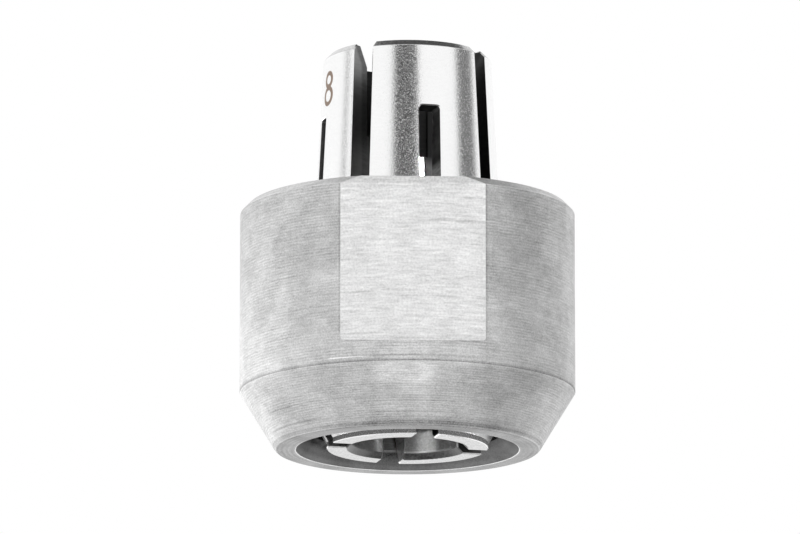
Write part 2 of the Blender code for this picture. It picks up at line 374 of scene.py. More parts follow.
def noise(tree, place, scale, detail, roughness):
    """Even noise, with its scale in cells per millimetre."""
    return node(tree, "TexNoise",
                {"Vector": place, "Scale": scale, "Detail": detail, "Roughness": roughness})


def streaks(tree, place, rates, detail, roughness):
    """Noise with its own rate of change along each axis."""
    return noise(tree, vector_maths(tree, "MULTIPLY", place, rates), 1.0, detail, roughness)


def weighted_sum(tree, parts):
    """Sum of (output, weight) pairs, each output counted from its own middle."""
    total = 0.0
    for output, weight in parts:
        centred = maths(tree, "SUBTRACT", output, MIDDLE)
        total = maths(tree, "MULTIPLY_ADD", centred, weight, total)
    return total


def with_shades(tree, place, tone, grain, shades):
    """A tone with rings, scratches, painted highlights and painted shade, broken up by the grain.
    """
    parts = split(tree, place)
    bearing = bearing_of(tree, parts)
    for height, half_width, change, *where in shades:
        away = maths(tree, "ABSOLUTE", maths(tree, "SUBTRACT", parts[2], height))
        share = ramp(tree, away, half_width, half_width * SOFT_SIDE, 0.0, change / MIDDLE)
        if where:
            middle, reach = [math.radians(degrees) for degrees in where]
            turn = maths(tree, "COSINE", maths(tree, "SUBTRACT", bearing, middle))
            within = ramp(tree, turn, math.cos(reach), math.cos(reach * SOFT_END), 0.0, 1.0)
            share = maths(tree, "MULTIPLY", share, within)
        tone = maths(tree, "MULTIPLY_ADD", share, grain, tone)
    return tone


def turned_steel(name, base, contrast, roughness, shades, glancing=1.0, rise=None):
    """Free-cutting steel, turned and then tumbled: a matte grey of short broken dashes along
    the turning grooves, with lighter and darker clouds. Above the start of a rise the steel
    is lighter by a change that fades towards the rise's end."""
    material, tree, place = new_finish(name)
    across = across_turning(tree, place)
    # The feed is wide enough to show as it is; the marks break off here and there
    grooves = node(tree, "TexWave",
                   {"Vector": across, "Scale": WAVE_PERIOD / TURNING_FEED, "Distortion": 1.2,
                    "Detail": 2.0, "Detail Scale": 1.6}, bands_direction="Z")
    worn = ramp(tree, streaks(tree, across, (0.35, 0.35, 0.9), 3.0, 0.6), 0.4, 0.6, 0.25, 1.0)
    centred = maths(tree, "SUBTRACT", grooves, MIDDLE)
    grooves = maths(tree, "MULTIPLY_ADD", centred, worn, MIDDLE)
    dashes = streaks(tree, across, (0.9, 0.9, 6.5), 3.0, 0.65)
    long_streaks = streaks(tree, across, (0.12, 0.12, 2.2), 4.0, 0.6)
    # Tumbled grain of about 0.1 mm
    grain = noise(tree, place, 9.0, 2.0, 0.7)
    clouds = noise(tree, place, 0.3, 4.0, 0.6)
    patches = ramp(tree, noise(tree, place, 0.42, 3.0, 0.5), 0.44, 0.56, 0.0, 1.0)
    tone = weighted_sum(tree, [(dashes, 0.5), (grain, 0.8), (long_streaks, 0.25), (clouds, 0.4),
                               (grooves, 0.16), (patches, 0.09)])
    if rise:
        start, end, change = rise
        level = split(tree, place)[2]
        fading = ramp(tree, level, start / MM, end / MM, change, 0.0)
        above = maths(tree, "GREATER_THAN", level, start / MM)
        tone = maths(tree, "MULTIPLY_ADD", fading, above, tone)
    tone = with_shades(tree, place, tone, dashes, shades)
    height = weighted_sum(tree, [(grooves, 0.5), (dashes, 0.5), (grain, 0.5)])
    rough = mixed(tree, clouds, roughness - 0.05, roughness + 0.05)
    finish_steel(tree, toned(tree, base, tone, contrast), rough, height, RELIEF, glancing)
    return material


def milled_steel(name, base, shades):
    """Milled steel: a bright ground with long, fine, slightly curved scratches from the cutter."""
    material, tree, place = new_finish(name)
    parts = split(tree, place)
    # The cutter's marks are wide arcs, so they sag a little in the middle
    square = maths(tree, "MULTIPLY", parts[0], parts[0])
    sag = maths(tree, "MULTIPLY_ADD", square, 1 / (2 * MILLING_RADIUS), parts[2])
    arcs = joined(tree, parts[0], parts[1], sag)
    long_marks = streaks(tree, arcs, (0.09, 0.1, 2.6), 4.0, 0.65)
    scratches = ramp(tree, long_marks, 0.3, 0.42, 0.0, 0.5)
    fine = streaks(tree, arcs, (0.7, 0.1, 5.0), 3.0, 0.65)
    grain = noise(tree, place, 6.0, 2.0, 0.7)
    clouds = noise(tree, place, 0.45, 3.0, 0.6)
    tone = weighted_sum(tree, [(scratches, 0.45), (fine, 0.8), (grain, 0.7), (clouds, 0.3)])
    tone = with_shades(tree, place, tone, fine, shades)
    height = weighted_sum(tree, [(long_marks, 0.8), (fine, 0.6), (grain, 0.6)])
    finish_steel(tree, toned(tree, base, tone), mixed(tree, clouds, 0.42, 0.5), height, RELIEF)
    return material


def figure_eight(tree, place, settings):
    """1 inside the strokes of a plain figure 8 on the tail, and 0 elsewhere. Its two loops and
    its stroke are shares of the figure's height."""
    parts = split(tree, place)
    size = settings.mark_size / MM
    middle = settings.mark_height / MM
    along = maths(tree, "MULTIPLY_ADD", bearing_of(tree, parts), MARK_RADIUS,
                  -settings.mark_angle * MARK_RADIUS)
    flat = joined(tree, along, parts[2])
    stroke = size * 0.145
    loops = []
    for share, rise in ((0.215, 0.285), (0.255, -0.245)):
        centre = (0.0, middle + rise * size, 0.0)
        away = vector_maths(tree, "DISTANCE", flat, centre).node.outputs["Value"]
        gap = maths(tree, "ABSOLUTE", maths(tree, "SUBTRACT", away, share * size))
        loops.append(ramp(tree, gap, stroke * 0.42, stroke * 0.58, 1.0, 0.0))
    return maths(tree, "MAXIMUM", *loops)


def ground_steel(name, settings):
    """Hardened tool steel, ground round and honed: bright, with a very fine grain that frays
    the edges of its reflections. It carries the laser-marked bore size."""
    material, tree, place = new_finish(name)
    # Grinding marks of about 0.05 mm, drawn at 0.12 mm so that they show
    marks = streaks(tree, across_turning(tree, place), (1.6, 1.6, 8.0), 2.0, 0.6)
    grain = noise(tree, place, 14.0, 1.0, 0.6)
    clouds = noise(tree, place, 0.5, 2.0, 0.5)
    tone = weighted_sum(tree, [(grain, 0.10), (marks, 0.06), (clouds, 0.03)])
    mark = figure_eight(tree, place, settings)
    steel = toned(tree, settings.ground_colour, tone)
    base = node(tree, "Mix", {"Factor": mark, "A": steel, "B": (*settings.mark_colour, 1.0)},
                data_type="RGBA").node.outputs["Result"]
    height = weighted_sum(tree, [(grain, 1.0), (marks, 0.6)])
    # Matte specks between smooth ones fray the dark reflections and leave the bright ones even
    specks = ramp(tree, grain, 0.36, 0.66, 0.1, 0.275)
    finish_steel(tree, base, mixed(tree, mark, specks, 0.5), height, FINE_RELIEF)
    return material


def honed_steel(name, base, roughness, shades=()):
    """Honed or faced tool steel: satin, with a fine grain and faint rings from the tool."""
    material, tree, place = new_finish(name)
    rings = streaks(tree, across_turning(tree, place), (0.5, 0.5, 7.0), 2.0, 0.6)
    grain = noise(tree, place, 6.5, 2.0, 0.7)
    tone = weighted_sum(tree, [(grain, 1.0), (rings, 0.3)])
    tone = with_shades(tree, place, tone, rings, shades)
    height = weighted_sum(tree, [(grain, 0.8), (rings, 0.5)])
    rough = mixed(tree, grain, roughness - 0.05, roughness + 0.05)
    finish_steel(tree, toned(tree, base, tone), rough, height, RELIEF)
    return material


def sawn_steel(name, base, glancing, settings, shades):
    """Saw-cut and heat-treated steel: dark, with faint cross lines from the saw, and blacker
    towards the bore, where the tools did not reach."""
    material, tree, place = new_finish(name)
    saw = streaks(tree, place, (0.8, 0.8, 5.0), 3.0, 0.6)
    grain = noise(tree, place, 9.0, 2.0, 0.7)
    tone = weighted_sum(tree, [(saw, 0.5), (grain, 0.3)])
    widening = math.tan(settings.mouth_taper)
    mouth = COLLET_HIGH[2] - (settings.mouth_radius - settings.relief_radius) / widening
    opened = maths(tree, "SUBTRACT", split(tree, place)[2], mouth / MM)
    opened = maths(tree, "MAXIMUM", opened, 0.0)
    inside = maths(tree, "MULTIPLY_ADD", opened, widening, settings.relief_radius / MM)
    wall = maths(tree, "SUBTRACT", radius_of(tree, place), inside)
    tone = maths(tree, "ADD", tone, ramp(tree, wall, 0.65, 0.95, -0.45, 0.0))
    tone = with_shades(tree, place, tone, saw, shades)
    height = weighted_sum(tree, [(saw, 0.8), (grain, 0.5)])
    finish_steel(tree, toned(tree, base, tone), mixed(tree, grain, 0.25, 0.4), height, RELIEF,
                 glancing)
    return material


def drawn_wire(name, base):
    """Drawn spring steel wire: smooth, with faint die lines along the wire."""
    material, tree, place = new_finish(name)
    lines = streaks(tree, across_turning(tree, place), (0.3, 0.3, 9.0), 2.0, 0.5)
    grain = noise(tree, place, 6.0, 2.0, 0.6)
    tone = weighted_sum(tree, [(lines, 0.4), (grain, 0.2)])
    finish_steel(tree, toned(tree, base, tone), mixed(tree, grain, 0.25, 0.35), lines,
                 FINE_RELIEF)
    return material


def rounded(corners, steps=4):
    """Closed outline from (radius, height, rounding) corners, with an arc at each rounded one."""
    points = []
    for index, (radius, height, rounding) in enumerate(corners):
        corner = Vector((radius, height))
        before = (Vector(corners[index - 1][:2]) - corner).normalized()
        after = (Vector(corners[(index + 1) % len(corners)][:2]) - corner).normalized()
        if rounding == 0.0:
            points.append(corner)
            continue
        half = before.angle(after) / 2
        centre = corner + (before + after).normalized() * (rounding / math.sin(half))
        start = corner + before * (rounding / math.tan(half)) - centre
        end = corner + after * (rounding / math.tan(half)) - centre
        turn = math.pi - 2 * half
        for step in range(steps + 1):
            share = step / steps
            spoke = start * math.sin((1 - share) * turn) + end * math.sin(share * turn)
            points.append(centre + spoke / math.sin(turn))
    return [(point.x, point.y) for point in points]


def lathe(outline, steps):
    """Turns a closed (radius, height) outline round the Z axis."""
    builder = bmesh.new()
    points = [builder.verts.new((radius, 0.0, height)) for radius, height in outline]
    edges = [builder.edges.new((a, b)) for a, b in zip(points, points[1:] + points[:1])]
    bmesh.ops.spin(builder, geom=points + edges, cent=(0, 0, 0), axis=(0, 0, 1),
                   angle=math.tau, steps=steps, use_merge=True)
    bmesh.ops.remove_doubles(builder, verts=builder.verts, dist=WELD)
    return builder


def sheet(builder, rows, finishes=None, closed=False):
    """Quads between rows of points, each row open or closed, with a finish for each place."""
    for first, second in zip(rows, rows[1:]):
        for index in range(len(first) - (not closed)):
            after = (index + 1) % len(first)
            face = builder.faces.new((first[index], first[after], second[after], second[index]))
            if finishes:
                face.material_index = finishes[index]


def add_object(name, data):
    """A new object in the scene."""
    item = bpy.data.objects.new(name, data)
    bpy.context.collection.objects.link(item)
    return item


def mesh_object(name, builder, materials):
    """Object of a finished bmesh."""
    mesh = bpy.data.meshes.new(name)
    builder.to_mesh(mesh)
    builder.free()
    for material in materials:
        mesh.materials.append(material)
    return add_object(name, mesh)


def smooth(mesh):
    """Shades a mesh smooth apart from its real edges."""
    mesh.shade_smooth()
    mesh.set_sharp_from_angle(angle=SHARP_ANGLE)


def solid_object(name, builder, materials=()):
    """Smooth object of a closed bmesh."""
    bmesh.ops.recalc_face_normals(builder, faces=builder.faces)
    item = mesh_object(name, builder, materials)
    smooth(item.data)
    return item


def hide_from(item, *rays):
    """Hides an object from kinds of rays."""
    for ray in rays:
        setattr(item, "visible_" + ray, False)


def cut_away(item, cutters):
    """Takes the cutters' volume away from an object and keeps the result as its mesh."""
    for cutter in cutters:
        modifier = item.modifiers.new(cutter.name, "BOOLEAN")
        modifier.operation = "DIFFERENCE"
        modifier.object = cutter
    evaluated = item.evaluated_get(bpy.context.evaluated_depsgraph_get())
    whole = bpy.data.meshes.new_from_object(evaluated)
    item.modifiers.clear()
    item.data = whole
    smooth(whole)
    for cutter in cutters:
        bpy.data.objects.remove(cutter, do_unlink=True)


def nut_outline(nut):
    """Section of the nut, from the nose opening round the outside and back through the bore."""
    radius = NUT_HIGH[0]
    height = NUT_HIGH[2]
    edge = nut.edge_rounding
    ring_middle = (RING_LOW[2] + RING_HIGH[2]) / 2
    groove = (RING_HIGH[2] - RING_LOW[2]) / 2 + RUNNING_GAP
    groove_low, groove_high = ring_middle - groove, ring_middle + groove
    undercut_start = groove_high + nut.land
    seat_end = nut.seat_start + (nut.chamber_radius - nut.throat_radius) / math.tan(nut.seat_taper)
    outside = [
        (nut.opening_radius, 0.0, edge * 2),
        (nut.rim_radius, 0.0, nut.rim_rounding),
        (radius, nut.cone_height, edge),
        (radius, height - nut.rear_chamfer, edge),
        (radius - nut.rear_chamfer, height, edge),
    ]
    bottom = undercut_start + nut.undercut
    rows = round((height - bottom) / (nut.thread_pitch / THREAD_ROWS))
    thread = []
    for row in range(rows + 1):
        level = height + (bottom - height) * row / rows
        flare = max(0.0, level - (height - nut.lead_in))
        thread.append((nut.thread_radius + flare, level, 0.0))
    inside = [
        (nut.undercut_radius, bottom, edge),
        (nut.undercut_radius, undercut_start, edge),
        (nut.chamber_radius, undercut_start, edge),
        (nut.chamber_radius, groove_high, edge),
        (nut.groove_radius, groove_high, edge),
        (nut.groove_radius, groove_low, edge),
        (nut.chamber_radius, groove_low, edge),
        (nut.chamber_radius, seat_end, edge),
        (nut.throat_radius, nut.seat_start, edge),
        (nut.throat_radius, nut.opening_radius - nut.throat_radius, edge),
    ]
    return rounded(outside + thread + inside), bottom


def cut_thread(builder, nut, bottom):
    """Moves the bore's points out into a 60 degree thread that runs round as it rises."""
    start = bottom - nut.undercut / 2
    for vert in builder.verts:
        radius = vert.co.xy.length
        if vert.co.z < bottom - NEAR or radius > nut.thread_radius + nut.lead_in - NEAR:
            continue
        turn = math.atan2(vert.co.y, vert.co.x) / math.tau
        phase = ((vert.co.z - start) / nut.thread_pitch - turn + 0.5) % 1.0
        flank = (1 - abs(2 * phase - 1) - CREST) / (1 - ROOT - CREST)
        depth = nut.thread_depth * min(1.0, max(0.0, flank))
        vert.co.xy *= max(radius, nut.thread_radius + depth) / radius


def flat_cutter(name, nut, turn):
    """Block that mills one wrench flat, with the cutter's rounding at its lower end."""
    reach = NUT_HIGH[0] * OVERCUT
    top = NUT_HIGH[2] * OVERCUT
    fillet = nut.flat_fillet
    steps = 12
    outline = [(-reach, top), (-nut.flat_distance, top)]
    for step in range(steps + 1):
        bend = math.pi / 2 * step / steps
        outline.append((-nut.flat_distance - fillet + fillet * math.cos(bend),
                        nut.flat_floor + fillet - fillet * math.sin(bend)))
    outline.append((-reach, nut.flat_floor))
    builder = bmesh.new()
    face = builder.faces.new([builder.verts.new((-reach, y, z)) for y, z in outline])
    sweep = bmesh.ops.extrude_face_region(builder, geom=[face])
    moved = [part for part in sweep["geom"] if isinstance(part, bmesh.types.BMVert)]
    bmesh.ops.translate(builder, verts=moved, vec=(2 * reach, 0, 0))
    bmesh.ops.transform(builder, matrix=Matrix.Rotation(turn, 4, "Z"), verts=builder.verts)
    return solid_object(name, builder)


def outline_offset(outline, depth):
    """The same closed outline moved inwards by a depth, corner by corner."""
    moved = []
    for index, point in enumerate(outline):
        here = Vector(point)
        before = (here - Vector(outline[index - 1])).normalized()
        after = (Vector(outline[(index + 1) % len(outline)]) - here).normalized()
        first = Vector((-before.y, before.x))
        second = Vector((-after.y, after.x))
        moved.append(here + (first + second) * (depth / (1 + first.dot(second))))
    return [(point.x, point.y) for point in moved]


def slot_end(half_width, corner, end, toward_solid, steps=5):
    """(side, height) points of a slot's closed end, from its left wall to its right wall."""
    start = end - toward_solid * corner
    left = []
    for step in range(steps + 1):
        bend = math.pi / 2 * step / steps
        left.append((-half_width + corner * (1 - math.cos(bend)),
                     start + toward_solid * corner * math.sin(bend)))
    middle = [(share * (half_width - corner), end) for share in (-0.4, 0.0, 0.4)]
    return left + middle + [(-side, height) for side, height in reversed(left)]


class SlottedSleeve:
    """Mesh of a turned sleeve with slots from both ends and broken edges along the slots."""

    def __init__(self, collet):
        self.collet = collet
        self.half = collet.slot_width / 2
        self.wide = self.half + collet.deburr
        self.low = COLLET_LOW[2]
        self.high = COLLET_HIGH[2]
        self.nose_end = self.high - collet.tail_bridge
        self.tail_end = self.low + collet.nose_bridge
        self.builder = bmesh.new()
        self.outline, self.finish, self.crossings = self.make_outline()
        self.inner = outline_offset(self.outline, collet.deburr)

    def make_outline(self):
        """Section of the sleeve, the finish of each of its sides, and the rows where the two
        kinds of slot end, each as (row on the outside, row in the bore)."""
        c = self.collet
        low = self.low
        high = self.high
        cone_start = low + c.nose_length
        head_start = cone_start + (c.head_radius - c.nose_radius) / math.tan(c.cone_taper)
        head_end = head_start + c.head_length
        tail_start = head_end + c.neck_length
        nose_row = self.nose_end - c.slot_corner
        tail_row = self.tail_end + c.slot_corner
        beyond = self.nose_end + 3 * c.deburr
        before = self.tail_end - 3 * c.deburr

        def tail(height):
            return c.tail_radius - (height - tail_start) * math.tan(c.tail_taper)

        chamfer_start = high - c.tail_chamfer
        mouth_end = high - (c.mouth_radius - c.relief_radius) / math.tan(c.mouth_taper)
        relief_end = high - c.relief_length
        corners = [
            (c.bore_radius + c.bore_chamfer, low, c.edge, FACED),
            (c.nose_radius, low, c.edge, GROUND),
            (c.nose_radius, cone_start, 0.0, SATIN),
            (c.head_radius, head_start, 0.0, GROUND),
            (c.head_radius, before, 0.0, GROUND),
            (c.head_radius, tail_row, 0.0, GROUND, "tail"),
            (c.head_radius, head_end, c.edge, GROUND),
            (c.neck_radius, head_end, 0.0, GROUND),
            (c.neck_radius, tail_start, 0.0, GROUND),
            (c.tail_radius, tail_start, c.edge, GROUND),
            (tail(nose_row), nose_row, 0.0, GROUND, "nose"),
            (tail(beyond), beyond, 0.0, GROUND),
            (tail(chamfer_start), chamfer_start, c.edge, FACED),
            (tail(chamfer_start) - c.tail_chamfer, high, c.edge, GROUND),
            (c.mouth_radius, high, c.edge, SAWN),
            (c.relief_radius, mouth_end, 0.0, SAWN),
            (c.relief_radius, beyond, 0.0, SAWN),
            (c.relief_radius, nose_row, 0.0, SAWN, "nose"),
            (c.relief_radius, relief_end, 0.0, HONED),
            (c.bore_radius, relief_end - c.edge, c.edge, HONED),
            (c.bore_radius, tail_row, 0.0, SATIN, "tail"),
            (c.bore_radius, before, 0.0, SATIN),
            (c.bore_radius, low + c.bore_chamfer, c.edge, CHAMFERED),
        ]
        outline, finish = [], []
        crossings = {"nose": [], "tail": []}
        sharp = [corner[:2] + (0.0,) for corner in corners]
        for index, (radius, height, rounding, side_finish, *slot) in enumerate(corners):
            for kind in slot:
                crossings[kind].append(len(outline))
            near = [sharp[index - 1], (radius, height, rounding), sharp[(index + 1) % len(sharp)]]
            bend = rounded(near, steps=1)[1:-1]
            outline += bend
            finish += [side_finish] * len(bend)
        return outline, finish, crossings

    def point(self, bearing, side, radius, height):
        """New point at a radius and a height, set off sideways from a bearing's plane."""
        out = math.sqrt(radius * radius - side * side)
        return self.builder.verts.new((out * math.sin(bearing) + side * math.cos(bearing),
                                       side * math.sin(bearing) - out * math.cos(bearing), height))

    def radius_at(self, row, height):
        """Radius of the sleeve's side that passes through a row, at another height."""
        radius, here = self.outline[row]
        step = 1 if self.outline[row + 1][0] != radius or self.outline[row - 1][0] == radius else -1
        other_radius, other = self.outline[row + step]
        return radius + (other_radius - radius) * (height - here) / (other - here)

    def sector(self, left, right, bearing, next_bearing):
        """The full wall between two slots."""
        columns = [left]
        for step in range(1, self.collet.steps):
            share = step / self.collet.steps
            column = []
            for radius, height in self.outline:
                inset = math.asin(self.wide / radius)
                turn = bearing + inset + (next_bearing - bearing - 2 * inset) * share
                column.append(self.point(turn, 0.0, radius, height))
            columns.append(column)
        columns.append(right)
        sheet(self.builder, columns, self.finish, closed=True)

    def slot(self, kind, bearing, left, right, finish):
        """One slot: the bridge beyond its closed end, its walls, its floor and broken edges."""
        c = self.collet
        count = len(self.outline)
        outside, bore = self.crossings[kind]
        past_tail = [row % count for row in range(outside, bore + 1)]
        past_nose = [row % count for row in range(bore, outside + count + 1)]
        if kind == "nose":
            toward_solid, end, bridge, opened = 1.0, self.nose_end, past_tail, past_nose
        else:
            toward_solid, end, bridge, opened = -1.0, self.tail_end, past_nose, past_tail
        broken = slot_end(self.wide, c.slot_corner + c.deburr, end + toward_solid * c.deburr,
                          toward_solid)
        sharp = slot_end(self.half, c.slot_corner, end, toward_solid)
        columns = [[left[row] for row in bridge]]
        for side, height in broken[1:-1]:
            column = []
            for row in bridge:
                radius, level = self.outline[row]
                if row in (outside, bore):
                    radius, level = self.radius_at(row, height), height
                column.append(self.point(bearing, side, radius, level))
            columns.append(column)
        columns.append([right[row] for row in bridge])
        sheet(self.builder, columns, [self.finish[row] for row in bridge])
        edges = {}
        for row, inward in ((outside, -1), (bore, 1)):
            edges[row] = [self.point(bearing, side,
                                     self.radius_at(row, height) + inward * c.deburr, height)
                          for side, height in sharp]
            place = bridge.index(row)
            sheet(self.builder, [[column[place] for column in columns], edges[row]],
                  [self.finish[row]] * len(columns))
        sheet(self.builder, [edges[outside], edges[bore]], [finish] * len(sharp))
        for border, sign, last in ((left, -1, 0), (right, 1, -1)):
            wall = [edges[row][last] if row in edges
                    else self.point(bearing, sign * self.half, *self.inner[row])
                    for row in opened]
            sheet(self.builder, [[border[row] for row in opened], wall],
                  [self.finish[row] for row in opened])
            self.builder.faces.new(wall).material_index = finish

    def build(self):
        """Puts all the sectors and slots together."""
        c = self.collet
        step = math.pi / c.slots
        borders = []
        for index in range(2 * c.slots):
            bearing = c.slot_angle + index * step + math.radians(SLOT_DRIFT.get(index, 0.0))
            left, right = [[self.point(bearing, side, *place) for place in self.outline]
                           for side in (-self.wide, self.wide)]
            borders.append((bearing, left, right))
        for index, (bearing, left, right) in enumerate(borders):
            finish = SAWN if index in DULL_SLOTS else DRESSED
            self.slot(("nose", "tail")[index % 2], bearing, left, right, finish)
            next_bearing, next_left = borders[(index + 1) % len(borders)][:2]
            self.sector(right, next_left, bearing, bearing + (next_bearing - bearing) % math.tau)
        return self.builder


def direction(bearing, rise):
    """Unit vector at a bearing from -Y towards +X and a rise above the level."""
    return Vector((math.sin(bearing) * math.cos(rise), -math.cos(bearing) * math.cos(rise),
                   math.sin(rise)))


def counted_from(height, shades):
    """Shades that are counted from a height, placed there."""
    return [(height / MM + rise, *rest) for rise, *rest in shades]


def curved_card(name, distance, start, end, low, high, grey):
    """A card that stands in an arc round the object."""
    builder = bmesh.new()
    steps = 12
    turns = [start + (end - start) * step / steps for step in range(steps + 1)]
    rows = [[builder.verts.new((distance * math.sin(turn), -distance * math.cos(turn), height))
             for turn in turns] for height in (low, high)]
    sheet(builder, rows)
    reflection_only(name, builder, grey)


def level_card(name, side, back, height, radius, grey):
    """A level round card above or below the object."""
    builder = bmesh.new()
    bmesh.ops.create_circle(builder, cap_ends=True, segments=48, radius=radius)
    bmesh.ops.translate(builder, verts=builder.verts, vec=(side, back, height))
    reflection_only(name, builder, grey)


def reflection_only(name, builder, grey):
    """Makes a card of one grey that shows only in reflections."""
    material, tree = new_material(name)
    light = node(tree, "Emission", {"Color": (grey, grey, grey, 1.0)})
    node(tree, "OutputMaterial", {"Surface": light})
    card = mesh_object(name, builder, [material])
    hide_from(card, "camera", "shadow", "diffuse")


class BuildNut(bpy.types.Operator):
    """Turn the nut, cut its thread and mill its wrench flats"""

    bl_idname = "collet_looks.nut"
    bl_label = "Build Nut"

    def execute(self, context):
        nut = context.scene.collet_nut_settings
        outline, bottom = nut_outline(nut)
        builder = lathe(outline, nut.steps)
        cut_thread(builder, nut, bottom)
        flat_ends = counted_from(NUT_HIGH[2], FLAT_END_SHADES)
        item = solid_object("turned_nut", builder, [
            turned_steel("turned_tumbled_steel", nut.turned_colour, contrast=1.35, roughness=0.42,
                         shades=[*counted_from(nut.cone_height, CORNER_LIGHT_AND_SHADE), *NOSE_SHADES],
                         rise=(nut.cone_height, 15 * MM, 0.07)),
            milled_steel("face_milled_steel", nut.milled_colour, flat_ends),
            turned_steel("bored_steel", nut.bored_colour, contrast=1.2, roughness=0.35,
                         shades=BORED_LIGHT_AND_SHADE, glancing=0.5),
        ])
        cut_away(item, [flat_cutter("front_flat_cutter", nut, 0.0),
                        flat_cutter("back_flat_cutter", nut, math.pi)])
        for face in item.data.polygons:
            face.material_index = self.finish_of(nut, face.center, face.normal)
        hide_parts("collet_nut")
        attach(item, "nut")
        return {"FINISHED"}

    def finish_of(self, nut, centre, normal):
        """Milled on the flats and on the freshly cut edges at both ends, bored inside, and
        turned elsewhere."""
        radius = centre.xy.length
        edge_width, skin, past_undercut = 0.13 * MM, 0.01 * MM, 0.1 * MM
        at_nose = abs(radius - nut.opening_radius) < edge_width and -0.999 < normal.z < -0.72
        at_rear = (centre.z > NUT_HIGH[2] - nut.rear_chamfer
                   and radius > NUT_HIGH[0] - nut.rear_chamfer)
        if at_nose or at_rear:
            return MILLED
        if radius < nut.opening_radius or (radius < nut.undercut_radius + past_undercut
                                           and centre.z > nut.flat_floor):
            return BORED
        on_flat = radius < NUT_HIGH[0] - skin and centre.z > nut.flat_floor - NEAR
        return MILLED if on_flat and normal.z <= 0.5 else TURNED


class BuildSpringCollet(bpy.types.Operator):
    """Build the slotted spring collet with broken edges along its slots"""

    bl_idname = "collet_looks.spring_collet"
    bl_label = "Build Spring Collet"

    def execute(self, context):
        settings = context.scene.spring_collet_settings
        bore_edge = COLLET_LOW[2] + settings.bore_chamfer
        item = solid_object("slotted_collet", SlottedSleeve(settings).build(), [
            ground_steel("ground_tool_steel", settings),
            sawn_steel("sawn_tool_steel", settings.sawn_colour, 0.3, settings, SAWN_WALL_LIGHT),
            honed_steel("faced_tool_steel", settings.faced_colour, 0.2),
            honed_steel("satin_tool_steel", settings.honed_colour, 0.34,
                        counted_from(bore_edge, BORE_EDGE_HIGHLIGHT)),
            honed_steel("honed_tool_steel", settings.honed_colour, 0.22),
            honed_steel("chamfered_tool_steel", settings.chamfer_colour, 0.3,
                        counted_from(COLLET_LOW[2], CHAMFER_PAINTED_SHADE)),
            sawn_steel("dressed_tool_steel", settings.dressed_colour, 0.8, settings,
                       DRESSED_SHADES),
        ])
        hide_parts("spring_collet")
        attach(item, "collet")
        return {"FINISHED"}


class BuildRetainingRing(bpy.types.Operator):
    """Bend the open wire ring that sits behind the collet's head"""

    bl_idname = "collet_looks.retaining_ring"
    bl_label = "Build Retaining Ring"

    def execute(self, context):
        settings = context.scene.retaining_ring_settings
        wire = (RING_HIGH[2] - RING_LOW[2]) / 2
        radius = RING_HIGH[0] - wire
        middle = (RING_LOW[2] + RING_HIGH[2]) / 2
        edge = wire * 0.25
        span = (math.tau - settings.opening) * radius
        builder = bmesh.new()
        sections = [(edge + (span - 2 * edge) * step / settings.steps, wire)
                    for step in range(settings.steps + 1)]
        sections = [(0.0, wire - edge), *sections, (span, wire - edge)]
        loops = []
        for along, thickness in sections:
            turn = settings.opening / 2 + along / radius
            loop = []
            for side in range(settings.sides):
                bend = math.tau * side / settings.sides
                out = radius + thickness * math.cos(bend)
                loop.append(builder.verts.new((out * math.sin(turn), -out * math.cos(turn),
                                               middle + thickness * math.sin(bend))))
            loops.append(loop)
        sheet(builder, loops, closed=True)
        builder.faces.new(loops[0])
        builder.faces.new(loops[-1])
        item = solid_object("wire_ring", builder,
                            [drawn_wire("drawn_spring_wire", settings.wire_colour)])
        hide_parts("retaining_ring")
        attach(item, "ring")
        return {"FINISHED"}


